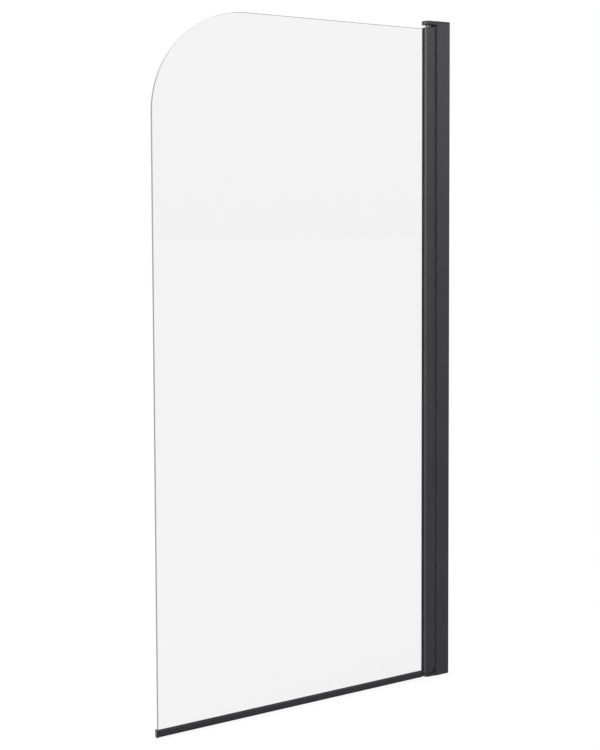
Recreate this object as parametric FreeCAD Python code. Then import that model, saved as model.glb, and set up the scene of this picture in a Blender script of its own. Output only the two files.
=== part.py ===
import FreeCAD, Part
import math
import os

V = FreeCAD.Vector
os.makedirs("parts", exist_ok=True)

# ---------------------------------------------------------------- dimensions
# All in mm. X = 0 is the wall, the screen reaches out along -X, Y = 0 is the
# middle of the glass, -Y is the front, +Z is up. Heights below are counted from
# the foot of the frame and moved down by HALF at the end, so that the row's
# origin is the centre of the four wall screw holes, on the wall.
HEIGHT = 1400.0          # foot to top of the frame
HALF = HEIGHT / 2.0

GLASS_T = 6.0            # toughened glass
GLASS_FREE_X = -675.0    # free edge
GLASS_IN_X = -52.0       # edge inside the pivot profile
GLASS_TOP = 1384.0
GLASS_BOT = 8.0
CORNER_R = 200.0         # round top corner
ARRIS = 0.6              # ground edge

AXIS_X = -45.5           # pivot axis, at Y = 0
NOSE_X = -60.5           # where the glass leaves the pivot profile
NOSE_R = 12.0
PIV_D = 24.0             # depth of the pivot profile
PIV_BACK_X = -38.2
PIV_BACK_R = 2.2
PIV_Z0, PIV_Z1 = 10.1, 1385.1
SLOT_W = 10.0            # glass pocket: glass and two gaskets
SLOT_END_X = -51.0
BORE_R = 4.2             # tube for the bushes

WALL_X0, WALL_X1 = -32.5, -0.5   # outer wall profile
WALL_D = 28.0
WALL_WEB = 3.5
WALL_FL = 1.5
WALL_Z0, WALL_Z1 = 3.0, 1397.0
CUP_R = 14.0             # hollow that the pivot profile turns in

CH_T = 2.0               # wall channel
CH_HALF = 12.2
CH_LEG = 26.0
CH_Z0, CH_Z1 = 4.0, 1396.0
WALL_HOLE_R = 2.6
WALL_HOLE_PITCH = 400.0  # four holes
ADJUST = 15.0            # travel of the outer profile on the channel

CAP_T = 3.0              # cap over the wall profile
BLOCK_T = 7.5            # cap over the pivot profile
PIN_R = 3.0
SHANK_R = 4.0
COLLAR_R = 6.5
BUSH_IN_R = 3.05
BUSH_FL_R = 6.2

ADJ_Z = (150.0, 700.0, 1250.0)
ADJ_X = -6.0
PORT = (-26.2, 7.0)      # screw ports of the outer profile
PORT_R, PORT_IN_R = 2.9, 1.65

SEAL_Z1 = 12.0
SEAL_HALF = 4.6
SEAL_IN_X = NOSE_X - 0.8
LOCK_Z = 658.0           # glass lock screw
LOCK_X = NOSE_X + 6.0


# ------------------------------------------------------------------- helpers
def face(steps):
    """Closed face in the XY plane: first a point, then ('L', x, y) or ('A', mx, my, x, y)."""
    p = V(steps[0][0], steps[0][1], 0)
    first = p
    edges = []
    for s in steps[1:]:
        if s[0] == 'L':
            q = V(s[1], s[2], 0)
            edges.append(Part.LineSegment(p, q).toShape())
        else:
            q = V(s[3], s[4], 0)
            edges.append(Part.Arc(p, V(s[1], s[2], 0), q).toShape())
        p = q
    if (p - first).Length > 1e-7:
        edges.append(Part.LineSegment(p, first).toShape())
    return Part.Face(Part.Wire(edges))


def prism(f, z0, z1):
    s = f.copy()
    s.translate(V(0, 0, z0))
    return s.extrude(V(0, 0, z1 - z0))


def box(x0, x1, y0, y1, z0, z1):
    return Part.makeBox(x1 - x0, y1 - y0, z1 - z0, V(x0, y0, z0))


def cyl(r, x, y, z0, z1):
    return Part.makeCylinder(r, z1 - z0, V(x, y, z0), V(0, 0, 1))


def cyl_y(r, x, z, y0, y1):
    return Part.makeCylinder(r, y1 - y0, V(x, y0, z), V(0, 1, 0))


def cyl_x(r, y, z, x0, x1):
    return Part.makeCylinder(r, x1 - x0, V(x0, y, z), V(1, 0, 0))


def hexa(af, z0, z1):
    """Hexagonal prism on the Z axis, af across flats."""
    r = af / math.sqrt(3.0)
    pts = [V(r * math.cos(math.radians(60 * i)), r * math.sin(math.radians(60 * i)), z0) for i in range(7)]
    return Part.Face(Part.makePolygon(pts)).extrude(V(0, 0, z1 - z0))


def mirror_y(s):
    return s.mirror(V(0, 0, 0), V(0, 1, 0))


def turned(profile, x, y):
    """Solid of revolution about a vertical axis from (r, z) points."""
    pts = [V(r, 0, z) for r, z in profile] + [V(profile[0][0], 0, profile[0][1])]
    f = Part.Face(Part.makePolygon(pts))
    s = f.revolve(V(0, 0, 0), V(0, 0, 1), 360)
    s.translate(V(x, y, 0))
    return s


def softened(s, r, pick):
    """Fillet of the edges that pick() chooses."""
    es = [e for e in s.Edges if pick(e)]
    if not es:
        return s
    try:
        f = s.makeFillet(r, es)
        if f.isValid() and f.Volume > 0:
            return f
    except Exception:
        pass
    return s


def arrised(s, d, pick):
    """Chamfer of the edges that pick() chooses."""
    es = [e for e in s.Edges if pick(e)]
    f = s.makeChamfer(d, es)
    return f if f.isValid() else s


def solid(s):
    s = s.removeSplitter() if hasattr(s, "removeSplitter") else s
    if s.ShapeType == "Compound" and len(s.Solids) == 1:
        return s.Solids[0]
    return s


NODES = {}


def node(name, *shapes):
    sols = []
    for s in shapes:
        s = solid(s)
        sols += s.Solids
    out = sols[0] if len(sols) == 1 else Part.makeCompound(sols)
    out = out.copy()
    out.translate(V(0, 0, -HALF))
    NODES[name] = out


# ================================================================ wall channel
# U section screwed to the wall, open towards the glass.
ch = box(-CH_T, 0, -CH_HALF, CH_HALF, CH_Z0, CH_Z1)
ch = ch.fuse([box(-CH_LEG, -CH_T / 2, -CH_HALF, -CH_HALF + CH_T, CH_Z0, CH_Z1),
              box(-CH_LEG, -CH_T / 2, CH_HALF - CH_T, CH_HALF, CH_Z0, CH_Z1)])
ch = solid(ch)
cuts = [cyl_x(WALL_HOLE_R, 0, HALF + k * WALL_HOLE_PITCH, -CH_T - 1, 1) for k in (-1.5, -0.5, 0.5, 1.5)]
for z in ADJ_Z:
    # slot along X for each adjusting screw
    cuts += [box(ADJ_X - ADJUST, ADJ_X, CH_HALF - CH_T - 1, CH_HALF + 1, z - 2.25, z + 2.25),
             cyl_y(2.25, ADJ_X, z, CH_HALF - CH_T - 1, CH_HALF + 1),
             cyl_y(2.25, ADJ_X - ADJUST, z, CH_HALF - CH_T - 1, CH_HALF + 1)]
ch = ch.cut(cuts)
node("wall_channel", ch)

# =============================================================== outer profile
# U section open to the wall, which slides over the channel and carries the caps.
hw = WALL_D / 2
r = 1.2
k = r * (1 - math.sqrt(0.5))
f = face([(WALL_X0 + r, -hw), ('L', WALL_X1, -hw), ('L', WALL_X1, -hw + WALL_FL),
          ('L', WALL_X0 + WALL_WEB, -hw + WALL_FL), ('L', WALL_X0 + WALL_WEB, hw - WALL_FL),
          ('L', WALL_X1, hw - WALL_FL), ('L', WALL_X1, hw), ('L', WALL_X0 + r, hw),
          ('A', WALL_X0 + k, hw - k, WALL_X0, hw - r), ('L', WALL_X0, -hw + r),
          ('A', WALL_X0 + k, -hw + k, WALL_X0 + r, -hw)])
wp = prism(f, WALL_Z0, WALL_Z1)
ports = [cyl(PORT_R, PORT[0], s * PORT[1], WALL_Z0, WALL_Z1) for s in (-1, 1)]
wp = solid(wp.fuse(ports))
FIN_Y0, FIN_Y1 = 9.3, 10.3          # where the fins of the splash seals leave the web
cuts = [cyl(CUP_R, AXIS_X, 0, WALL_Z0 - 1, WALL_Z1 + 1)]
cuts += [cyl(PORT_IN_R, PORT[0], s * PORT[1], WALL_Z0 - 1, WALL_Z1 + 1) for s in (-1, 1)]
for s in (-1, 1):
    a = box(WALL_X0 - 1, WALL_X0 + 0.9, 9.2, 10.4, WALL_Z0 - 1, WALL_Z1 + 1)
    b = box(WALL_X0 + 0.8, WALL_X0 + 2.2, 8.4, 11.2, WALL_Z0 - 1, WALL_Z1 + 1)
    if s < 0:
        a, b = mirror_y(a), mirror_y(b)
    cuts += [a, b]
for z in ADJ_Z:
    cuts.append(cyl_y(2.1, ADJ_X, z, hw - WALL_FL - 1, hw + 1))
wp = wp.cut(cuts)
node("wall_profile", wp)

# splash seals: a foot held in the web's slot and a soft fin towards the pivot profile
BLOCK_TOP_Z = HEIGHT - BLOCK_T
for nm, s in (("splash_seal_front", -1), ("splash_seal_rear", 1)):
    foot = box(WALL_X0 + 1.0, WALL_X0 + 2.0, 8.6, 11.0, BLOCK_T + 0.5, BLOCK_TOP_Z - 0.5)
    neck = box(WALL_X0 - 1.8, WALL_X0 + 1.4, FIN_Y0 + 0.1, FIN_Y1 - 0.1, BLOCK_T + 0.5, BLOCK_TOP_Z - 0.5)
    tip = cyl(0.4, WALL_X0 - 1.8, (FIN_Y0 + FIN_Y1) / 2, BLOCK_T + 0.5, BLOCK_TOP_Z - 0.5)
    sh = foot.fuse([neck, tip])
    node(nm, mirror_y(sh) if s < 0 else sh)


# ======================================================================== caps
def cap_outline(grow=0.0):
    """Plan of both caps: round over the pivot profile, wider over the wall profile."""
    n = NOSE_R + grow
    cx = NOSE_X + NOSE_R
    w = hw + grow
    return face([(cx, -n), ('L', PIV_BACK_X, -n), ('L', WALL_X0 + 0.6, -w), ('L', WALL_X1, -w),
                 ('L', WALL_X1, w), ('L', WALL_X0 + 0.6, w), ('L', PIV_BACK_X, n), ('L', cx, n),
                 ('A', cx - n, 0, cx, -n)])


def make_cap():
    """Cap lying upside up with its top face at z = 0."""
    c = prism(cap_outline(), -CAP_T, 0)
    blk = prism(cap_outline(), -BLOCK_T, 0).common(box(-100, WALL_X0 - 0.05, -50, 50, -20, 1))
    c = solid(c.fuse(blk))
    # outer edge of the visible face
    c = softened(c, 0.4, lambda e: abs(e.BoundBox.ZMin) < 1e-6 and abs(e.BoundBox.ZMax) < 1e-6
                 and e.BoundBox.XMin < WALL_X1 - 0.6)
    holes = [cyl(SHANK_R + 0.05, AXIS_X, 0, -20, 5)]
    for s in (-1, 1):
        holes.append(cyl(2.0, PORT[0], s * PORT[1], -20, 5))
        cone = Part.makeCone(1.6, 4.6, 3.0, V(PORT[0], s * PORT[1], -2.85), V(0, 0, 1))
        holes.append(cone)
    # threaded hole for the pin lock screw, from the rear
    holes.append(cyl_y(2.0, AXIS_X, -BLOCK_T / 2, 3.0, 20))
    return c.cut(holes)


cap = make_cap()
top_cap = cap.copy()
top_cap.translate(V(0, 0, HEIGHT))
bottom_cap = cap.mirror(V(0, 0, 0), V(0, 0, 1))
node("top_cap", top_cap)
node("bottom_cap", bottom_cap)


def csk_screw(x, y):
    """Countersunk screw, head flush at z = -0.2, pointing down."""
    s = turned([(0, -0.3), (3.75, -0.3), (3.75, -0.55), (1.6, -2.7), (1.6, -20.5), (0.6, -22.0), (0, -22.0)], x, y)
    soc = hexa(2.5, -1.7, 1.0)
    soc.translate(V(x, y, 0))
    return s.cut(soc)


scr = [csk_screw(PORT[0], s * PORT[1]) for s in (-1, 1)]
up = [s.copy() for s in scr]
for s in up:
    s.translate(V(0, 0, HEIGHT))
node("top_cap_screws", *up)
node("bottom_cap_screws", *[s.mirror(V(0, 0, 0), V(0, 0, 1)) for s in scr])

# ================================================================= pivot pins
# Top pin: screwed down through the cap's block, with a collar in the open gap.
GAP_Z0 = PIV_Z1 + 1.2
tp = turned([(0, 1366.0), (PIN_R - 0.8, 1366.0), (PIN_R, 1366.8), (PIN_R, GAP_Z0 + 0.8), (COLLAR_R - 0.5, GAP_Z0 + 0.8),
             (COLLAR_R, GAP_Z0 + 1.3), (COLLAR_R, BLOCK_TOP_Z), (SHANK_R, BLOCK_TOP_Z), (SHANK_R, HEIGHT - 0.8),
             (SHANK_R - 0.4, HEIGHT - 0.4), (0, HEIGHT - 0.4)], AXIS_X, 0)
soc = hexa(4.0, HEIGHT - 3.6, HEIGHT + 1)
soc.translate(V(AXIS_X, 0, 0))
flat = box(AXIS_X - 3, AXIS_X + 3, 3.5, 6, BLOCK_TOP_Z + 1.6, HEIGHT - 1.6)
node("top_pivot_pin", tp.cut([soc, flat]))

bp = turned([(0, 0.4), (SHANK_R - 0.4, 0.4), (SHANK_R, 0.8), (SHANK_R, BLOCK_T), (PIN_R, BLOCK_T), (PIN_R, 27.2),
             (PIN_R - 0.8, 28.0), (0, 28.0)], AXIS_X, 0)
soc = hexa(4.0, -1, 3.6)
soc.translate(V(AXIS_X, 0, 0))
flat = box(AXIS_X - 3, AXIS_X + 3, 3.5, 6, 1.6, BLOCK_T - 1.6)
node("bottom_pivot_pin", bp.cut([soc, flat]))

# lock screws for both pins, from the rear of the blocks
locks = []
for z in (BLOCK_T / 2, HEIGHT - BLOCK_T / 2):
    s = cyl_y(1.95, AXIS_X, z, 3.55, 11.2)
    h = hexa(2.0, 0, 3.0)
    h.rotate(V(0, 0, 0), V(1, 0, 0), -90)
    h.translate(V(AXIS_X, 9.0, z))
    locks.append(s.cut(h))
node("pin_lock_screws", *locks)

# thrust washer that the panel turns on
tw = cyl(COLLAR_R, AXIS_X, 0, BLOCK_T, BLOCK_T + 1.0).cut(cyl(PIN_R + 0.1, AXIS_X, 0, 0, 20))
node("thrust_washer", tw)

# ============================================ adjusting screws, nuts and covers
screws, nuts, covers = [], [], []
for z in ADJ_Z:
    s = Part.makeCylinder(2.0, 11.0, V(ADJ_X, hw - 10.5, z), V(0, 1, 0))
    head = Part.makeCylinder(4.0, 2.4, V(ADJ_X, hw, z), V(0, 1, 0))
    head = softened(head, 0.9, lambda e: abs(e.BoundBox.YMin - hw - 2.4) < 1e-6 and abs(e.BoundBox.YMax - hw - 2.4) < 1e-6)
    s = s.fuse(head)
    h = hexa(2.5, 0, 4)
    h.rotate(V(0, 0, 0), V(1, 0, 0), -90)
    h.translate(V(ADJ_X, hw + 1.0, z))
    screws.append(s.cut(h))
    n = box(ADJ_X - 3.4, ADJ_X + 3.4, 6.9, 10.1, z - 3.4, z + 3.4).cut(cyl_y(2.05, ADJ_X, z, 0, 20))
    nuts.append(n)
    c = Part.makeCylinder(5.6, 4.0, V(ADJ_X, hw, z), V(0, 1, 0))
    c = softened(c, 1.2, lambda e: abs(e.BoundBox.YMin - hw - 4.0) < 1e-6 and abs(e.BoundBox.YMax - hw - 4.0) < 1e-6)
    c = c.cut(Part.makeCylinder(4.5, 2.9, V(ADJ_X, hw - 0.1, z), V(0, 1, 0)))
    covers.append(c)
node("adjusting_screws", *screws)
node("adjusting_nuts", *nuts)
node("screw_covers", *covers)

# =============================================================== pivot profile
cx = NOSE_X + NOSE_R
d = PIV_D / 2
rb = PIV_BACK_R
kb = rb * (1 - math.sqrt(0.5))
f = face([(cx, -d), ('L', PIV_BACK_X - rb, -d), ('A', PIV_BACK_X - kb, -d + kb, PIV_BACK_X, -d + rb),
          ('L', PIV_BACK_X, d - rb), ('A', PIV_BACK_X - kb, d - kb, PIV_BACK_X - rb, d), ('L', cx, d),
          ('A', cx - NOSE_R, 0, cx, -d)])
OUTER = f
pp = prism(f, PIV_Z0, PIV_Z1)
sw = SLOT_W / 2
GRV = (NOSE_X + 3.5, NOSE_X + 6.5, 6.0)           # groove for the gaskets' beads
cuts = [box(NOSE_X - 2, SLOT_END_X, -sw, sw, PIV_Z0 - 1, PIV_Z1 + 1),
        box(GRV[0], GRV[1], -GRV[2], GRV[2], PIV_Z0 - 1, PIV_Z1 + 1),
        cyl(BORE_R, AXIS_X, 0, PIV_Z0 - 1, PIV_Z1 + 1)]
CHAM = (SLOT_END_X + 1.4, PIV_BACK_X - 1.7, 6.2, 10.5)   # side chambers
for s in (-1, 1):
    b = box(CHAM[0], CHAM[1], CHAM[2], CHAM[3], PIV_Z0 - 1, PIV_Z1 + 1)
    cuts.append(b if s > 0 else mirror_y(b))
cuts.append(cyl_y(2.6, LOCK_X, LOCK_Z, -d - 1, -GRV[2] + 0.5))
cuts.append(cyl_y(3.4, LOCK_X, LOCK_Z, -d - 1, -10.0))
node("pivot_profile", pp.cut(cuts))

ls = cyl_y(2.5, LOCK_X, LOCK_Z, -9.5, -GRV[2] - 0.1)
h = hexa(2.5, 0, 2.4)
h.rotate(V(0, 0, 0), V(1, 0, 0), -90)
h.translate(V(LOCK_X, -9.6, LOCK_Z))
node("glass_lock_screw", ls.cut(h))

# gaskets each side of the glass
for nm, s in (("glazing_gasket_front", -1), ("glazing_gasket_rear", 1)):
    g = box(NOSE_X + 0.4, GLASS_IN_X - 0.2, GLASS_T / 2, sw, PIV_Z0, GLASS_TOP - 0.8)
    g = g.fuse([cyl(1.0, NOSE_X + 0.4, GLASS_T / 2 + 1.0, PIV_Z0, GLASS_TOP - 0.8),
                box(GRV[0] + 0.1, GRV[1] - 0.1, sw - 0.5, GRV[2] - 0.1, PIV_Z0, GLASS_TOP - 0.8)])
    g = solid(g).cut([box(-70, -50, 0, GLASS_T / 2, 0, HEIGHT)])
    node(nm, mirror_y(g) if s < 0 else g)

# setting blocks behind the glass edge
blocks = [box(GLASS_IN_X, SLOT_END_X, -2.8, 2.8, z - 20, z + 20) for z in (140.0, 700.0, 1250.0)]
node("glass_setting_blocks", *blocks)


# end plugs of the pivot profile
def plug(z0, z1, leg0, leg1, glass=False):
    p = prism(OUTER, z0, z1)
    cut = [cyl(BUSH_FL_R + 0.1, AXIS_X, 0, z0 - 1, z1 + 1)]
    if glass:
        # the glass stands down through the lower plug
        cut.append(box(NOSE_X - 5, GLASS_IN_X + 0.1, -GLASS_T / 2 - 0.05, GLASS_T / 2 + 0.05, z0 - 1, z1 + 1))
    p = p.cut(cut)
    legs = []
    for s in (-1, 1):
        b = box(CHAM[0] + 0.3, CHAM[1] - 0.3, CHAM[2] + 0.3, CHAM[3] - 0.3, leg0, leg1)
        legs.append(b if s > 0 else mirror_y(b))
    return p.fuse(legs)


node("profile_top_plug", plug(PIV_Z1, PIV_Z1 + 1.2, PIV_Z1 - 12, PIV_Z1 + 0.6))
node("profile_bottom_plug", plug(PIV_Z0 - 1.2, PIV_Z0, PIV_Z0 - 0.6, PIV_Z0 + 12, glass=True))

# bushes in the bore, with a flange each
tb = turned([(BUSH_IN_R, PIV_Z1 - 20), (BORE_R, PIV_Z1 - 20), (BORE_R, PIV_Z1), (BUSH_FL_R, PIV_Z1),
             (BUSH_FL_R, PIV_Z1 + 1.5), (BUSH_IN_R, PIV_Z1 + 1.5)], AXIS_X, 0)
bb = turned([(BUSH_IN_R, PIV_Z0 - 1.5), (BUSH_FL_R, PIV_Z0 - 1.5), (BUSH_FL_R, PIV_Z0), (BORE_R, PIV_Z0),
             (BORE_R, PIV_Z0 + 20), (BUSH_IN_R, PIV_Z0 + 20)], AXIS_X, 0)
node("top_pivot_bush", tb)
node("bottom_pivot_bush", bb)

# ======================================================================= glass
R = CORNER_R
ax, az = GLASS_FREE_X, GLASS_TOP
m = R * (1 - math.sqrt(0.5))
f = face([(GLASS_IN_X, GLASS_BOT), ('L', GLASS_IN_X, az), ('L', ax + R, az), ('A', ax + m, az - m, ax, az - R),
          ('L', ax, GLASS_BOT), ('L', GLASS_IN_X, GLASS_BOT)])
gl = f.extrude(V(0, 0, GLASS_T))
gl = arrised(gl, ARRIS, lambda e: abs(e.BoundBox.ZMax - e.BoundBox.ZMin) < 1e-6)
gl.rotate(V(0, 0, 0), V(1, 0, 0), 90)
gl.translate(V(0, GLASS_T / 2, 0))
node("glass_panel", gl)


# ================================================================= bottom seal
def yz_face(steps, x):
    """Like face(), with the steps read as (y, z)."""
    f = face(steps)
    m4 = FreeCAD.Matrix(0, 0, 1, x, 1, 0, 0, 0, 0, 1, 0, 0, 0, 0, 0, 1)
    return f.transformGeometry(m4)


w = SEAL_HALF
g2 = GLASS_T / 2
SEAL_MID = 2.2
# rigid clip on the glass edge
clip = yz_face([(-w, SEAL_MID), ('L', w, SEAL_MID), ('L', w, 6.0), ('L', w - 0.6, 6.3), ('L', w - 0.6, 6.7),
                ('L', w, 7.0), ('L', w, SEAL_Z1 - 0.6), ('L', w - 0.6, SEAL_Z1), ('L', g2, SEAL_Z1),
                ('L', g2, GLASS_BOT), ('L', -g2, GLASS_BOT), ('L', -g2, SEAL_Z1), ('L', -w + 0.6, SEAL_Z1),
                ('L', -w, SEAL_Z1 - 0.6), ('L', -w, 7.0), ('L', -w + 0.6, 6.7), ('L', -w + 0.6, 6.3),
                ('L', -w, 6.0), ('L', -w, SEAL_MID)], GLASS_FREE_X)
clip = clip.extrude(V(SEAL_IN_X - GLASS_FREE_X, 0, 0))
node("bottom_seal_clip", clip)
# soft bulb under it
b = 4.2
lip = yz_face([(-b, SEAL_MID), ('A', 0, SEAL_MID - b, b, SEAL_MID), ('L', -b, SEAL_MID)], GLASS_FREE_X)
inn = yz_face([(-b + 1.2, SEAL_MID - 0.8), ('A', 0, SEAL_MID - b + 1.1, b - 1.2, SEAL_MID - 0.8),
               ('L', -b + 1.2, SEAL_MID - 0.8)], GLASS_FREE_X - 1)
lip = lip.extrude(V(SEAL_IN_X - GLASS_FREE_X, 0, 0)).cut(inn.extrude(V(700, 0, 0)))
node("bottom_seal_bulb", lip)
# end cap over the free end of both
o = 0.5
EC0, EC1 = GLASS_FREE_X - 3.0, GLASS_FREE_X + 1.5
ec = yz_face([(-w - o, SEAL_MID), ('A', 0, SEAL_MID - b - 0.6, w + o, SEAL_MID), ('L', w + o, SEAL_Z1 + 0.2),
              ('L', -w - o, SEAL_Z1 + 0.2), ('L', -w - o, SEAL_MID)], EC0).extrude(V(EC1 - EC0, 0, 0))
ec = softened(ec, 0.7, lambda e: abs(e.BoundBox.XMin - EC0) < 1e-6 and abs(e.BoundBox.XMax - EC0) < 1e-6)
pocket = yz_face([(-w - 0.03, SEAL_MID), ('A', 0, SEAL_MID - b - 0.05, w + 0.03, SEAL_MID), ('L', w + 0.03, SEAL_Z1 + 3),
                  ('L', -w - 0.03, SEAL_Z1 + 3), ('L', -w - 0.03, SEAL_MID)], GLASS_FREE_X).extrude(V(10, 0, 0))
node("seal_end_cap", ec.cut(pocket))

# ====================================================================== export
for name in sorted(NODES):
    s = NODES[name]
    bad = [i for i, q in enumerate(s.Solids) if not q.isValid() or q.Volume <= 0]
    bb = s.BoundBox
    print("%-22s solids %d vol %10.1f  x %.2f..%.2f y %.2f..%.2f z %.2f..%.2f %s" % (
        name, len(s.Solids), s.Volume, bb.XMin, bb.XMax, bb.YMin, bb.YMax, bb.ZMin, bb.ZMax,
        "INVALID" if bad else ""))
    s.exportStep("parts/" + name + ".step")
print(len(NODES), "nodes")
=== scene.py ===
import math

import bmesh
import bpy
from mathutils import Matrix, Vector


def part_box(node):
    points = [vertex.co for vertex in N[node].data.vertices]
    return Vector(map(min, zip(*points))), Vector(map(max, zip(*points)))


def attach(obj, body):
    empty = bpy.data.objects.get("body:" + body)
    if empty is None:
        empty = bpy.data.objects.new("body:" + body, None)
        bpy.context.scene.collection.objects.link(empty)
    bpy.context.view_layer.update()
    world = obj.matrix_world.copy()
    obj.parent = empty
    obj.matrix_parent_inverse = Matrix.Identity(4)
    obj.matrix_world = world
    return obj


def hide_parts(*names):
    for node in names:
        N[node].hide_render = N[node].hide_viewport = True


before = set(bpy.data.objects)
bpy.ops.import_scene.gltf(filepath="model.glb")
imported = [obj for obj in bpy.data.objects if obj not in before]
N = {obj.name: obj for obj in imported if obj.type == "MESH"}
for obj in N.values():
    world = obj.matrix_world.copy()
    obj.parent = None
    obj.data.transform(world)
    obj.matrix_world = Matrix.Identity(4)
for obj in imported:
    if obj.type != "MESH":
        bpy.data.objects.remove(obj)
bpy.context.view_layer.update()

scene = bpy.context.scene
COL = scene.collection
HALF = 0.700                       # foot of the frame to the row's origin


# ---------------------------------------------------------------- node helpers
def material(name):
    m = bpy.data.materials.new(name)
    m.use_nodes = True
    nt = m.node_tree
    nt.nodes.clear()
    out = nt.nodes.new("ShaderNodeOutputMaterial")
    out.location = (700, 0)
    return m, nt, out


def add(nt, kind, **values):
    n = nt.nodes.new(kind)
    for k, v in values.items():
        if k in n.bl_rna.properties.keys():
            setattr(n, k, v)
        else:
            n.inputs[k.replace("_", " ")].default_value = v
    return n


def ramp(nt, fac, stops, interpolation="LINEAR"):
    r = nt.nodes.new("ShaderNodeValToRGB")
    r.color_ramp.interpolation = interpolation
    e = r.color_ramp.elements
    while len(e) < len(stops):
        e.new(0.5)
    for i, (p, c) in enumerate(stops):
        e[i].position = p
        e[i].color = (c, c, c, 1) if isinstance(c, float) else (*c, 1)
    nt.links.new(fac, r.inputs["Fac"])
    return r


def coords(nt, scale=(1, 1, 1), rotation=(0, 0, 0)):
    tc = nt.nodes.new("ShaderNodeTexCoord")
    mp = nt.nodes.new("ShaderNodeMapping")
    mp.inputs["Scale"].default_value = scale
    mp.inputs["Rotation"].default_value = rotation
    nt.links.new(tc.outputs["Object"], mp.inputs["Vector"])
    return mp.outputs["Vector"]


def noise(nt, vec, scale, detail=3.0, rough=0.5, dist=0.0):
    n = nt.nodes.new("ShaderNodeTexNoise")
    n.inputs["Scale"].default_value = scale
    n.inputs["Detail"].default_value = detail
    n.inputs["Roughness"].default_value = rough
    n.inputs["Distortion"].default_value = dist
    nt.links.new(vec, n.inputs["Vector"])
    return n.outputs["Fac"]


def bump(nt, height, strength, distance, normal=None):
    b = nt.nodes.new("ShaderNodeBump")
    b.inputs["Strength"].default_value = strength
    b.inputs["Distance"].default_value = distance
    nt.links.new(height, b.inputs["Height"])
    if normal is not None:
        nt.links.new(normal, b.inputs["Normal"])
    return b.outputs["Normal"]


def soft_step(nt, value, a, b, lo, hi):
    n = nt.nodes.new("ShaderNodeMapRange")
    n.interpolation_type = "SMOOTHSTEP"
    for k, v in (("From Min", a), ("From Max", b), ("To Min", lo), ("To Max", hi)):
        n.inputs[k].default_value = v
    nt.links.new(value, n.inputs["Value"])
    return n.outputs["Result"]


def beside(nt, vec, azimuth, edge, core, strength):
    """Upright strip of light: strength within core degrees of azimuth, which is counted to the left of the front, and 0 past edge."""
    a = math.radians(azimuth)
    flat = nt.nodes.new("ShaderNodeVectorMath")
    flat.operation = "MULTIPLY"
    flat.inputs[1].default_value = (1, 1, 0)
    unit = nt.nodes.new("ShaderNodeVectorMath")
    unit.operation = "NORMALIZE"
    dot = nt.nodes.new("ShaderNodeVectorMath")
    dot.operation = "DOT_PRODUCT"
    dot.inputs[1].default_value = (-math.sin(a), -math.cos(a), 0)
    nt.links.new(vec, flat.inputs[0])
    nt.links.new(flat.outputs[0], unit.inputs[0])
    nt.links.new(unit.outputs[0], dot.inputs[0])
    return soft_step(nt, dot.outputs["Value"], math.cos(math.radians(edge)), math.cos(math.radians(core)), 0.0, strength)


def times(nt, a, b):
    n = nt.nodes.new("ShaderNodeMath")
    n.operation = "MULTIPLY"
    nt.links.new(a, n.inputs[0])
    nt.links.new(b, n.inputs[1])
    return n.outputs[0]


def mirrored_ray(nt):
    """1 for a ray that a glossy surface reflects, 0 for one that the camera sees, also through glass."""
    lp = nt.nodes.new("ShaderNodeLightPath")
    inv = nt.nodes.new("ShaderNodeMath")
    inv.operation = "SUBTRACT"
    inv.use_clamp = True
    nt.links.new(lp.outputs["Is Glossy Ray"], inv.inputs[0])
    nt.links.new(lp.outputs["Is Transmission Ray"], inv.inputs[1])
    return inv.outputs[0]


def mix_color(nt, fac, a, b):
    m = nt.nodes.new("ShaderNodeMix")
    m.data_type = "RGBA"
    nt.links.new(fac, m.inputs[0])
    for sock, c in ((m.inputs[6], a), (m.inputs[7], b)):
        if isinstance(c, tuple):
            sock.default_value = (*c, 1)
        else:
            nt.links.new(c, sock)
    return m.outputs[2]


# ------------------------------------------------------------------- materials
def powder_coat(name, low, high, rough=(0.27, 0.34), peel=0.17):
    """Satin black powder coat: fine orange peel, slight cloudiness, paler rubbed specks."""
    m, nt, out = material(name)
    p = add(nt, "ShaderNodeBsdfPrincipled", IOR=1.5)
    v = coords(nt)
    cloud = noise(nt, v, 9.0, 4.0, 0.6)
    speck = noise(nt, v, 2600.0, 2.0, 0.5)
    c = mix_color(nt, ramp(nt, cloud, [(0.3, 0.0), (0.7, 1.0)]).outputs["Color"], low, high)
    speck_mask = ramp(nt, speck, [(0.70, 0.0), (0.80, 0.25)]).outputs["Color"]
    c2 = mix_color(nt, speck_mask, c, (0.085, 0.085, 0.09))
    nt.links.new(c2, p.inputs["Base Color"])
    r = ramp(nt, noise(nt, v, 60.0, 5.0, 0.6), [(0.3, rough[0]), (0.7, rough[1])])
    nt.links.new(r.outputs["Color"], p.inputs["Roughness"])
    fine = noise(nt, v, 1500.0, 2.0, 0.55)
    broad = noise(nt, v, 420.0, 1.0, 0.5)
    n1 = bump(nt, broad, peel, 0.0004)
    n2 = bump(nt, fine, peel * 1.5, 0.0002, n1)
    nt.links.new(n2, p.inputs["Normal"])
    nt.links.new(p.outputs[0], out.inputs["Surface"])
    return m


def extruded_alu(name):
    """Mill-finish extruded aluminium with die lines along its length."""
    m, nt, out = material(name)
    p = add(nt, "ShaderNodeBsdfPrincipled", Metallic=1.0, IOR=1.5)
    lines = noise(nt, coords(nt, (1, 1, 0.004)), 2200.0, 3.0, 0.6)
    cloud = noise(nt, coords(nt, (1, 1, 0.2)), 40.0, 4.0, 0.6)
    c = mix_color(nt, cloud, (0.55, 0.56, 0.57), (0.68, 0.69, 0.70))
    nt.links.new(c, p.inputs["Base Color"])
    r = ramp(nt, lines, [(0.3, 0.30), (0.7, 0.48)])
    nt.links.new(r.outputs["Color"], p.inputs["Roughness"])
    nt.links.new(bump(nt, lines, 0.25, 0.0001), p.inputs["Normal"])
    nt.links.new(p.outputs[0], out.inputs["Surface"])
    return m


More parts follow.
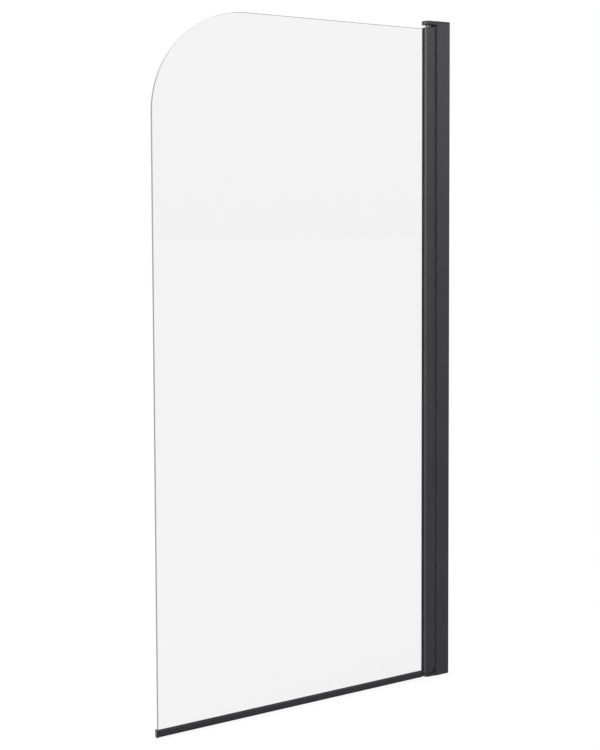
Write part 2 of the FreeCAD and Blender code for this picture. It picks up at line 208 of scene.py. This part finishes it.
def moulded(name, low, high, rough=(0.45, 0.6), grain=1800.0, strength=0.12, drawn=None, level=0.5):
    """Moulded or extruded black plastic or rubber with a fine matt grain."""
    m, nt, out = material(name)
    p = add(nt, "ShaderNodeBsdfPrincipled", IOR=1.5)
    p.inputs["Specular IOR Level"].default_value = level
    v = coords(nt, drawn or (1, 1, 1))
    g = noise(nt, v, grain, 3.0, 0.6)
    cloud = noise(nt, coords(nt), 35.0, 4.0, 0.6)
    c = mix_color(nt, cloud, low, high)
    nt.links.new(c, p.inputs["Base Color"])
    r = ramp(nt, g, [(0.3, rough[0]), (0.7, rough[1])])
    nt.links.new(r.outputs["Color"], p.inputs["Roughness"])
    nt.links.new(bump(nt, g, strength, 0.00015), p.inputs["Normal"])
    nt.links.new(p.outputs[0], out.inputs["Surface"])
    return m


def turned_steel(name, low, high, rough=(0.22, 0.38)):
    """Turned steel: fine rings round a vertical axis and a little handling haze."""
    m, nt, out = material(name)
    p = add(nt, "ShaderNodeBsdfPrincipled", Metallic=1.0, IOR=1.5)
    rings = noise(nt, coords(nt, (0.05, 0.05, 1)), 4200.0, 2.0, 0.6)
    haze = noise(nt, coords(nt), 300.0, 4.0, 0.6)
    c = mix_color(nt, haze, low, high)
    nt.links.new(c, p.inputs["Base Color"])
    r = ramp(nt, rings, [(0.3, rough[0]), (0.7, rough[1])])
    nt.links.new(r.outputs["Color"], p.inputs["Roughness"])
    nt.links.new(bump(nt, rings, 0.2, 0.00008), p.inputs["Normal"])
    nt.links.new(p.outputs[0], out.inputs["Surface"])
    return m


def glass_face(name):
    """Clear toughened glass. Lamps reach the floor through it."""
    m, nt, out = material(name)
    p = add(nt, "ShaderNodeBsdfPrincipled", Roughness=0.0, IOR=1.5)
    p.inputs["Base Color"].default_value = (0.896, 0.895, 0.895, 1)
    p.inputs["Transmission Weight"].default_value = 1.0
    p.inputs["Specular Tint"].default_value = (0.45, 0.45, 0.45, 1)
    # roller wave of toughened glass: a very slow ripple up the pane
    v = coords(nt, (0.6, 1, 1))
    w = noise(nt, v, 6.0, 1.0, 0.4)
    nt.links.new(bump(nt, w, 0.02, 0.002), p.inputs["Normal"])
    clear = nt.nodes.new("ShaderNodeBsdfTransparent")
    clear.inputs["Color"].default_value = (0.93, 0.935, 0.935, 1)
    lp = nt.nodes.new("ShaderNodeLightPath")
    mx = nt.nodes.new("ShaderNodeMixShader")
    nt.links.new(lp.outputs["Is Shadow Ray"], mx.inputs["Fac"])
    nt.links.new(p.outputs[0], mx.inputs[1])
    nt.links.new(clear.outputs[0], mx.inputs[2])
    nt.links.new(mx.outputs[0], out.inputs["Surface"])
    return m


def glass_edge(name):
    """Ground and polished edge with grinding lines: its dark grey is painted shade for the dim look into the glass
    edge-on, and faces turned up are painted pale as a painted highlight from above.
    """
    m, nt, out = material(name)
    p = add(nt, "ShaderNodeBsdfPrincipled", IOR=1.5)
    v = coords(nt, (1, 1, 1))
    g = noise(nt, v, 900.0, 3.0, 0.6)
    # painted shade: the edge's dark grey stands for the dim look into the glass edge-on, varied by grinding lines
    c = mix_color(nt, g, (0.20, 0.205, 0.205), (0.30, 0.31, 0.31))
    tc = nt.nodes.new("ShaderNodeTexCoord")
    facing = nt.nodes.new("ShaderNodeSeparateXYZ")
    nt.links.new(tc.outputs["Normal"], facing.inputs[0])
    # painted highlight: faces whose normal turns up are painted pale, as if lit from above
    c = mix_color(nt, soft_step(nt, facing.outputs["Z"], 0.1, 0.9, 0.0, 1.0), c, (0.62, 0.63, 0.63))
    nt.links.new(c, p.inputs["Base Color"])
    r = ramp(nt, g, [(0.3, 0.18), (0.7, 0.30)])
    nt.links.new(r.outputs["Color"], p.inputs["Roughness"])
    nt.links.new(bump(nt, g, 0.15, 0.0001), p.inputs["Normal"])
    nt.links.new(p.outputs[0], out.inputs["Surface"])
    return m


COAT = powder_coat("black_powder_coat_finish", (0.024, 0.024, 0.028), (0.030, 0.030, 0.034))
CAP_COAT = powder_coat("cap_powder_coat_finish", (0.017, 0.017, 0.019), (0.023, 0.023, 0.026), (0.36, 0.44), 0.17)
ALU = extruded_alu("channel_aluminium_finish")
RUBBER = moulded("black_rubber_finish", (0.008, 0.008, 0.009), (0.014, 0.014, 0.015), (0.55, 0.72), 1500.0, 0.15, level=0.35)
# splash-seal rubber painted paler than the gasket rubber: painted light that lifts the shaded groove the fins sit in
FIN_RUBBER_PAINTED_LIGHT = moulded("fin_rubber_painted_light", (0.026, 0.026, 0.028), (0.036, 0.036, 0.039), (0.32, 0.45), 1500.0, 0.10)
# rear gasket rubber painted a paler grey than the black front gasket: painted light for its brighter look through the
# glass
REAR_GASKET_PAINTED_LIGHT = moulded("rear_gasket_rubber_painted_light", (0.085, 0.086, 0.090), (0.115, 0.116, 0.120), (0.5, 0.66), 1500.0, 0.15)
SEAL = moulded("black_seal_plastic_finish", (0.016, 0.016, 0.018), (0.026, 0.026, 0.029), (0.30, 0.42), 1400.0, 0.10, (0.02, 1, 1))
PLASTIC = moulded("black_plastic_finish", (0.020, 0.020, 0.021), (0.032, 0.032, 0.034), (0.42, 0.55), 2400.0, 0.16)
BUSH = moulded("bush_plastic_finish", (0.56, 0.54, 0.49), (0.66, 0.64, 0.59), (0.35, 0.5), 1800.0, 0.08)
STEEL = turned_steel("steel_finish", (0.50, 0.50, 0.51), (0.62, 0.62, 0.63))
LOCK_STEEL = turned_steel("lock_steel_finish", (0.16, 0.16, 0.165), (0.24, 0.24, 0.245), (0.25, 0.4))
PIN_STEEL = turned_steel("pin_steel_finish", (0.070, 0.070, 0.074), (0.110, 0.110, 0.115), (0.14, 0.22))
GLASS = glass_face("clear_glass_finish")
# glass edge material: painted shade on its sides and a painted highlight on its upward faces
EDGE_PAINTED_SHADE_AND_LIGHT = glass_edge("glass_edge_painted_shade_and_light")

FINISH = {
    "wall_channel": ALU, "wall_profile": COAT, "pivot_profile": COAT, "top_cap": CAP_COAT, "bottom_cap": CAP_COAT,
    "top_cap_screws": STEEL, "bottom_cap_screws": STEEL, "top_pivot_pin": PIN_STEEL, "bottom_pivot_pin": PIN_STEEL,
    "pin_lock_screws": STEEL, "thrust_washer": BUSH, "adjusting_screws": STEEL, "adjusting_nuts": STEEL,
    "screw_covers": PLASTIC, "splash_seal_front": FIN_RUBBER_PAINTED_LIGHT, "splash_seal_rear": FIN_RUBBER_PAINTED_LIGHT,
    "glass_panel": GLASS, "glazing_gasket_front": RUBBER, "glazing_gasket_rear": REAR_GASKET_PAINTED_LIGHT,
    "glass_setting_blocks": RUBBER, "profile_top_plug": PLASTIC, "profile_bottom_plug": PLASTIC,
    "top_pivot_bush": BUSH, "bottom_pivot_bush": BUSH, "glass_lock_screw": LOCK_STEEL,
    "bottom_seal_clip": SEAL, "bottom_seal_bulb": RUBBER, "seal_end_cap": SEAL,
}
for name, o in N.items():
    mat = FINISH[name]
    if not o.material_slots:
        o.data.materials.append(mat)
    for s in o.material_slots:
        s.material = mat


# ------------------------------------------------------------ mesh from outlines
MM = 0.001


def arc(cx, cy, r, a0, a1, step=5.0):
    """Points on an arc from a0 to a1 degrees, both ends included."""
    n = max(1, int(math.ceil(abs(a1 - a0) / step)))
    return [(cx + r * math.cos(math.radians(a0 + (a1 - a0) * i / n)),
             cy + r * math.sin(math.radians(a0 + (a1 - a0) * i / n))) for i in range(n + 1)]


def rounded(pts, step=15.0):
    """Closed outline with the corners given as (x, y, r) rounded to r."""
    out = []
    n = len(pts)
    for i, p in enumerate(pts):
        if len(p) == 2:
            out.append(p)
            continue
        a, b = pts[i - 1], pts[(i + 1) % n]
        P = Vector(p[:2])
        u, v = Vector(a[:2]) - P, Vector(b[:2]) - P
        lu, lv = u.length, v.length
        u.normalize()
        v.normalize()
        half = u.angle(v) / 2
        t = min(p[2] / math.tan(half), 0.45 * lu, 0.45 * lv)
        r = t * math.tan(half)
        c = P + (u + v).normalized() * (r / math.sin(half))
        s, e = P + u * t - c, P + v * t - c
        a0, a1 = math.atan2(s.y, s.x), math.atan2(e.y, e.x)
        d = (a1 - a0 + math.pi) % (2 * math.pi) - math.pi
        k = max(1, int(math.ceil(abs(math.degrees(d)) / step)))
        out += [(c.x + r * math.cos(a0 + d * j / k), c.y + r * math.sin(a0 + d * j / k)) for j in range(k + 1)]
    return out


def circle(cx, cy, r, step=9.0):
    return arc(cx, cy, r, 0, 360, step)[:-1]


def extruded(loops, stations, axis="Z"):
    """Closed bmesh of a section, outline first and then its holes, in mm. axis X reads the section as (y, z)."""
    bm = bmesh.new()

    def at(p, h):
        q = (p[0], p[1], h) if axis == "Z" else (h, p[0], p[1])
        return Vector(q) * MM

    rings = []
    for h in stations:
        rings.append([[bm.verts.new(at(p, h)) for p in loop] for loop in loops])
    for a, b in zip(rings, rings[1:]):
        for la, lb in zip(a, b):
            m = len(la)
            for i in range(m):
                j = (i + 1) % m
                bm.faces.new((la[i], la[j], lb[j], lb[i]))
    for ring in (rings[0], rings[-1]):
        edges = []
        for loop in ring:
            m = len(loop)
            edges += [bm.edges.get((loop[i], loop[(i + 1) % m])) for i in range(m)]
        bmesh.ops.triangle_fill(bm, use_beauty=True, use_dissolve=False, edges=edges)
    bmesh.ops.recalc_face_normals(bm, faces=bm.faces)
    return bm


def rod(r, p, q, segments=48):
    """Closed cylinder from p to q, in mm, used to cut holes."""
    bm = bmesh.new()
    P, Q = Vector(p) * MM, Vector(q) * MM
    bmesh.ops.create_cone(bm, cap_ends=True, segments=segments, radius1=r * MM, radius2=r * MM, depth=(Q - P).length)
    turn = (Q - P).to_track_quat("Z", "Y").to_matrix().to_4x4()
    bm.transform(turn)
    bmesh.ops.translate(bm, verts=bm.verts, vec=(P + Q) / 2)
    return bm


def slot_cutter(r, x0, x1, z, y0, y1):
    """Closed cutter with round ends for a slot along X, in mm."""
    pts = arc(x1, z, r, -90, 90, 6) + arc(x0, z, r, 90, 270, 6)
    bm = bmesh.new()
    lo = [bm.verts.new(Vector((x, y0, zz)) * MM) for x, zz in pts]
    hi = [bm.verts.new(Vector((x, y1, zz)) * MM) for x, zz in pts]
    m = len(pts)
    for i in range(m):
        j = (i + 1) % m
        bm.faces.new((lo[i], lo[j], hi[j], hi[i]))
    bm.faces.new(lo)
    bm.faces.new(hi)
    bmesh.ops.recalc_face_normals(bm, faces=bm.faces)
    return bm


def piece(name, bm, node, body, mat, cutters=(), sharp=24.0):
    """Finished mesh object from a bmesh, with the cutters taken off it, that stands for a CAD node."""
    me = bpy.data.meshes.new(name)
    bm.to_mesh(me)
    bm.free()
    o = bpy.data.objects.new(name, me)
    COL.objects.link(o)
    tools = []
    for i, c in enumerate(cutters):
        cm = bpy.data.meshes.new(name + "_cut")
        c.to_mesh(cm)
        c.free()
        co = bpy.data.objects.new(name + "_cut", cm)
        COL.objects.link(co)
        b = o.modifiers.new("cut", "BOOLEAN")
        b.operation = "DIFFERENCE"
        b.solver = "EXACT"
        b.object = co
        tools.append(co)
    if tools:
        bpy.context.view_layer.update()
        dg = bpy.context.evaluated_depsgraph_get()
        done = bpy.data.meshes.new_from_object(o.evaluated_get(dg))
        o.modifiers.clear()
        o.data = done
        done.name = name
        for t in tools:
            bpy.data.objects.remove(t)
    me = o.data
    me.materials.clear()
    me.materials.append(mat)
    for p in me.polygons:
        p.material_index = 0
    me.polygons.foreach_set("use_smooth", [True] * len(me.polygons))
    me.set_sharp_from_angle(angle=math.radians(sharp))
    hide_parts(node)
    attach(o, body)
    return o


def zz(z):
    """Height above the foot to the row frame, in mm."""
    return z - 700.0


# ---------------------------------------------------------------- pivot profile
AX = -45.5
NC = -48.5                          # centre of the round nose
LOCK_Z = 658.0                      # glass lock screw, above the foot
z0, z1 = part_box("pivot_profile")[0].z / MM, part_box("pivot_profile")[1].z / MM
lip = math.degrees(math.asin(5.0 / 12.0))
nose_f = arc(NC, 0, 12.0, 180 + lip, 270, 3.5)
nose_b = arc(NC, 0, 12.0, 90, 180 - lip, 3.5)
section = ([(nose_f[0][0], nose_f[0][1], 0.35)] + nose_f[1:] + arc(-40.4, -9.8, 2.2, -90, 0, 9)
           + arc(-40.4, 9.8, 2.2, 0, 90, 9) + nose_b[:-1] + [(nose_b[-1][0], nose_b[-1][1], 0.35)]
           + [(-57, 5.0, 0.15), (-57, 6.0, 0.2), (-54, 6.0, 0.2), (-54, 5.0, 0.15), (-51, 5.0, 0.3),
              (-51, -5.0, 0.3), (-54, -5.0, 0.15), (-54, -6.0, 0.2), (-57, -6.0, 0.2), (-57, -5.0, 0.15)])
chamber = [(-49.6, 6.2, 0.4), (-39.9, 6.2, 0.4), (-39.9, 10.5, 0.4), (-49.6, 10.5, 0.4)]
holes = [circle(AX, 0, 4.2), rounded(chamber), rounded([(x, -y, r) for x, y, r in reversed(chamber)])]
piece("pivot_profile_extrusion", extruded([rounded(section)] + holes, [z0, zz(LOCK_Z - 9), zz(LOCK_Z + 9), z1]),
      "pivot_profile", "panel", COAT,
      [rod(3.4, (-54.5, -13, zz(LOCK_Z)), (-54.5, -10.0, zz(LOCK_Z))), rod(2.6, (-54.5, -13, zz(LOCK_Z)), (-54.5, -5.5, zz(LOCK_Z)))])

# ----------------------------------------------------------------- wall profile
z0, z1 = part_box("wall_profile")[0].z / MM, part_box("wall_profile")[1].z / MM
W0, W1, HW = -32.5, -0.5, 14.0
cup = math.degrees(math.asin(math.sqrt(14.0 ** 2 - 13.0 ** 2) / 14.0))
half = [(W0, 9.2, 0.12), (W0 + 0.8, 9.2), (W0 + 0.8, 8.4, 0.12), (W0 + 2.2, 8.4, 0.12), (W0 + 2.2, 11.2, 0.12),
        (W0 + 0.8, 11.2, 0.12), (W0 + 0.8, 10.4), (W0, 10.4, 0.12)]
pn = math.degrees(math.atan2(math.sqrt(2.9 ** 2 - 2.8 ** 2), -2.8))
upper = (half + arc(W0 + 1.2, HW - 1.2, 1.2, 180, 90, 9) + [(W1, HW, 0.25), (W1, HW - 1.5, 0.25), (-29.0, HW - 1.5, 0.4)]
         + arc(-26.2, 7.0, 2.9, pn, -pn, 9))
lower = [(p[0], -p[1]) + tuple(p[2:]) for p in reversed(upper)]
section = arc(AX, 0, 14.0, -cup, cup, 4) + upper + lower
EASE = 0.35                         # deburred saw cuts
body = extruded([rounded(section), circle(-26.2, 7.0, 1.65), circle(-26.2, -7.0, 1.65)], [z0, z0 + EASE, z1 - EASE, z1])
for v in body.verts:
    if min(abs(v.co.z - z0 * MM), abs(v.co.z - z1 * MM)) < 1e-6 and abs(v.co.y) > (HW - 0.05) * MM:
        v.co.y -= math.copysign(EASE * 0.8 * MM, v.co.y)
piece("wall_profile_extrusion", body,
      "wall_profile", "post", COAT,
      [rod(2.1, (-6.0, HW - 2.5, zz(z)), (-6.0, HW + 1.0, zz(z))) for z in (150.0, 700.0, 1250.0)])

# ----------------------------------------------------------------- wall channel
z0, z1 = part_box("wall_channel")[0].z / MM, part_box("wall_channel")[1].z / MM
section = [(0, -12.2, 0.3), (0, 12.2, 0.3), (-26, 12.2, 0.5), (-26, 10.2, 0.5), (-2, 10.2, 0.6), (-2, -10.2, 0.6),
           (-26, -10.2, 0.5), (-26, -12.2, 0.5)]
piece("wall_channel_extrusion", extruded([rounded(section)], [z0, z1]), "wall_channel", "wall_mount", ALU,
      [rod(2.6, (-3, 0, zz(z)), (1, 0, zz(z))) for z in (100.0, 500.0, 900.0, 1300.0)]
      + [slot_cutter(2.25, -21.0, -6.0, zz(z), 9.0, 13.5) for z in (150.0, 700.0, 1250.0)])

# --------------------------------------------------------------- glazing gaskets
z0, z1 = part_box("glazing_gasket_front")[0].z / MM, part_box("glazing_gasket_front")[1].z / MM
# a round bead in the mouth of the slot, a key in the groove and two small wiping ribs
bead = arc(-60.1, 4.0, 1.0, 270, 90, 10)
gasket = (bead + [(-56.9, 5.0), (-56.9, 5.9, 0.2), (-54.1, 5.9, 0.2), (-54.1, 5.0), (-52.2, 5.0, 0.3), (-52.2, 3.0, 0.3),
                  (-54.0, 3.0, 0.1), (-54.3, 3.35, 0.1), (-55.4, 3.35, 0.1), (-55.7, 3.0, 0.1),
                  (-57.2, 3.0, 0.1), (-57.5, 3.35, 0.1), (-58.6, 3.35, 0.1), (-58.9, 3.0, 0.1)])
# the rear strip gets the paler rubber, painted light for its brighter look through the glass
piece("glazing_gasket_rear_strip", extruded([rounded(gasket)], [z0, z1]), "glazing_gasket_rear", "panel", REAR_GASKET_PAINTED_LIGHT)
front = [(p[0], -p[1]) + tuple(p[2:]) for p in reversed(gasket)]
piece("glazing_gasket_front_strip", extruded([rounded(front)], [z0, z1]), "glazing_gasket_front", "panel", RUBBER)

# ------------------------------------------------------------------ splash seals
z0, z1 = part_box("splash_seal_front")[0].z / MM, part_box("splash_seal_front")[1].z / MM
fin = ([(W0 + 1.0, 8.6, 0.15), (W0 + 2.0, 8.6, 0.15), (W0 + 2.0, 11.0, 0.15), (W0 + 1.0, 11.0, 0.15), (W0 + 1.0, 10.2, 0.1)]
       + arc(W0 - 1.8, 9.8, 0.4, 90, 270, 15) + [(W0 + 1.0, 9.4, 0.1)])
# the fins get the paler rubber, painted light for the shaded groove
piece("splash_seal_rear_fin", extruded([rounded(fin)], [z0, z1]), "splash_seal_rear", "post", FIN_RUBBER_PAINTED_LIGHT)
front = [(p[0], -p[1]) + tuple(p[2:]) for p in reversed(fin)]
piece("splash_seal_front_fin", extruded([rounded(front)], [z0, z1]), "splash_seal_front", "post", FIN_RUBBER_PAINTED_LIGHT)

# ------------------------------------------------------------------- bottom seal
lo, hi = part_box("bottom_seal_clip")
x0, x1 = lo.x / MM, hi.x / MM
sw, sm, st, gb = hi.y / MM, lo.z / MM, hi.z / MM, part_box("glass_panel")[0].z / MM
clip = [(-sw, sm, 0.3), (sw, sm, 0.3), (sw, sm + 3.8, 0.2), (sw - 0.6, sm + 4.1, 0.15), (sw - 0.6, sm + 4.5, 0.15), (sw, sm + 4.8, 0.2),
        (sw, st - 0.7, 0.3), (sw - 0.7, st, 0.3), (3.0, st, 0.3), (3.0, gb), (-3.0, gb), (-3.0, st, 0.3), (-sw + 0.7, st, 0.3),
        (-sw, st - 0.7, 0.3), (-sw, sm + 4.8, 0.2), (-sw + 0.6, sm + 4.5, 0.15), (-sw + 0.6, sm + 4.1, 0.15), (-sw, sm + 3.8, 0.2)]
piece("bottom_seal_clip_strip", extruded([rounded(clip)], [x0, x1], "X"), "bottom_seal_clip", "panel", SEAL)
lo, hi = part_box("bottom_seal_bulb")
r = hi.y / MM
bulb = arc(0, sm, r, 180, 360, 5)
inner = arc(0, sm - 0.8, r - 1.2, 190, 350, 8)
piece("bottom_seal_bulb_strip", extruded([bulb, inner], [x0, x1], "X"), "bottom_seal_bulb", "panel", RUBBER)


# ----------------------------------------------------------------- the glass
def outline(x0, x1, z0, z1, r, steps):
    """Points of the pane's outline, anticlockwise seen from the front, with the round corner at (x0, z1)."""
    pts = [(x0, z0), (x1, z0), (x1, z1)]
    for i in range(steps + 1):
        a = math.pi / 2 + (math.pi / 2) * i / steps
        pts.append((x0 + r + r * math.cos(a), z1 - r + r * math.sin(a)))
    return pts


def build_glass():
    lo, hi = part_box("glass_panel")
    arris = 0.0006
    steps = 96
    outer = outline(lo.x, hi.x, lo.z, hi.z, 0.200, steps)
    inner = outline(lo.x + arris, hi.x - arris, lo.z + arris, hi.z - arris, 0.200 - arris, steps)
    bm = bmesh.new()
    y0, y1 = lo.y, hi.y
    rings = [
        [bm.verts.new((x, y0, z)) for x, z in inner],
        [bm.verts.new((x, y0 + arris, z)) for x, z in outer],
        [bm.verts.new((x, y1 - arris, z)) for x, z in outer],
        [bm.verts.new((x, y1, z)) for x, z in inner],
    ]
    n = len(outer)
    for a, b in zip(rings, rings[1:]):
        for i in range(n):
            j = (i + 1) % n
            f = bm.faces.new((a[i], b[i], b[j], a[j]))
            f.material_index = 1
            f.smooth = True
    bm.faces.new(rings[0]).material_index = 0
    bm.faces.new(list(reversed(rings[3]))).material_index = 0
    bmesh.ops.recalc_face_normals(bm, faces=bm.faces)
    me = bpy.data.meshes.new("glass_pane")
    bm.to_mesh(me)
    bm.free()
    me.materials.append(GLASS)
    me.materials.append(EDGE_PAINTED_SHADE_AND_LIGHT)
    # the big faces and the arrises meet at hard edges, and the arc stays smooth
    me.set_sharp_from_angle(angle=math.radians(25))
    o = bpy.data.objects.new("glass_pane", me)
    COL.objects.link(o)
    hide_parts("glass_panel")
    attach(o, "panel")
    return o


build_glass()


# --------------------------------------------------------- floor, world, lamps
FLOOR_Z = -0.7028


def floor():
    me = bpy.data.meshes.new("floor")
    s = 60.0
    me.from_pydata([(-s, -s, FLOOR_Z), (s, -s, FLOOR_Z), (s, s, FLOOR_Z), (-s, s, FLOOR_Z)], [], [(0, 1, 2, 3)])
    o = bpy.data.objects.new("floor", me)
    COL.objects.link(o)
    m, nt, out = material("pale_floor")
    d = add(nt, "ShaderNodeBsdfDiffuse")
    e = add(nt, "ShaderNodeEmission")
    e.inputs["Color"].default_value = (1, 1, 1, 1)
    e.inputs["Strength"].default_value = 0.86
    v = coords(nt)
    g = noise(nt, v, 30.0, 3.0, 0.5)
    nt.links.new(mix_color(nt, g, (0.147, 0.147, 0.147), (0.153, 0.153, 0.153)), d.inputs["Color"])
    s1 = nt.nodes.new("ShaderNodeAddShader")
    nt.links.new(d.outputs[0], s1.inputs[0])
    nt.links.new(e.outputs[0], s1.inputs[1])
    # gloss looks past the floor into the studio's own lower half, which is a quieter grey
    past = nt.nodes.new("ShaderNodeBsdfTransparent")
    mx = nt.nodes.new("ShaderNodeMixShader")
    nt.links.new(mirrored_ray(nt), mx.inputs["Fac"])
    nt.links.new(s1.outputs[0], mx.inputs[1])
    nt.links.new(past.outputs[0], mx.inputs[2])
    nt.links.new(mx.outputs[0], out.inputs["Surface"])
    me.materials.append(m)


floor()

world = bpy.data.worlds.new("studio")
scene.world = world
world.use_nodes = True
nt = world.node_tree
nt.nodes.clear()
wo = nt.nodes.new("ShaderNodeOutputWorld")
seen = nt.nodes.new("ShaderNodeBackground")
seen.inputs["Color"].default_value = (1, 1, 1, 1)
seen.inputs["Strength"].default_value = 1.0
tc = nt.nodes.new("ShaderNodeTexCoord")
sep = nt.nodes.new("ShaderNodeSeparateXYZ")
nt.links.new(tc.outputs["Generated"], sep.inputs[0])


# what gloss mirrors: darker low down in front, pale behind, one upright strip of light at the left
def up(z):
    return 0.5 + 0.5 * z


height = nt.nodes.new("ShaderNodeMapRange")
height.inputs["From Min"].default_value = -1.0
nt.links.new(sep.outputs["Z"], height.inputs["Value"])
front = ramp(nt, height.outputs["Result"], [
    (up(-0.36), (0.19, 0.19, 0.19)), (up(-0.22), (0.26, 0.26, 0.26)), (up(-0.08), (0.32, 0.32, 0.325)), (up(0.0), (0.42, 0.42, 0.43)),
    (up(0.14), (1.06, 1.07, 1.16)), (up(0.5), (1.06, 1.08, 1.14)), (up(1.0), (0.8, 0.82, 0.85))])
behind = soft_step(nt, sep.outputs["Y"], -0.05, 0.30, 0.0, 1.0)
room = mix_color(nt, behind, front.outputs["Color"], (0.80, 0.80, 0.80))
base = nt.nodes.new("ShaderNodeBackground")
base.inputs["Strength"].default_value = 1.25
nt.links.new(room, base.inputs["Color"])
lights = times(nt, beside(nt, tc.outputs["Generated"], 76, 24, 8, 5.2), soft_step(nt, sep.outputs["Z"], -0.02, 0.16, 0.25, 1.0))
glow = nt.nodes.new("ShaderNodeBackground")
nt.links.new(lights, glow.inputs["Strength"])
both = nt.nodes.new("ShaderNodeAddShader")
nt.links.new(base.outputs[0], both.inputs[0])
nt.links.new(glow.outputs[0], both.inputs[1])
mx = nt.nodes.new("ShaderNodeMixShader")
nt.links.new(mirrored_ray(nt), mx.inputs["Fac"])
nt.links.new(seen.outputs[0], mx.inputs[1])
nt.links.new(both.outputs[0], mx.inputs[2])
nt.links.new(mx.outputs[0], wo.inputs["Surface"])


def softbox(name, at, aim, size, power):
    d = bpy.data.lights.new(name, "AREA")
    d.shape = "RECTANGLE"
    d.size, d.size_y = size
    d.energy = power
    o = bpy.data.objects.new(name, d)
    o.location = at
    o.rotation_euler = (Vector(aim) - Vector(at)).to_track_quat("-Z", "Y").to_euler()
    o.visible_glossy = False
    COL.objects.link(o)
    return o


softbox("softbox", (-2.2, -2.0, 2.4), (-0.3, 0, 0), (2.4, 2.4), 30.0)

# ---------------------------------------------------------------------- camera
cam = bpy.data.cameras.new("camera")
cam.lens = 57.69037751
cam.sensor_width = 36.0
cam.sensor_fit = "AUTO"
cam.shift_x = 0.0
cam.shift_y = -0.12
cam.dof.use_dof = False
co = bpy.data.objects.new("camera", cam)
co.location = (-1.5383015, -2.0921313, 0.2795416)
co.rotation_mode = "XYZ"
co.rotation_euler = tuple(math.radians(a) for a in (87.00646889, 0.22805443, -29.4237736))
COL.objects.link(co)
scene.camera = co
scene.view_settings.view_transform = "Standard"
scene.view_settings.look = "None"
scene.view_settings.exposure = 0.0
scene.view_settings.gamma = 1.0
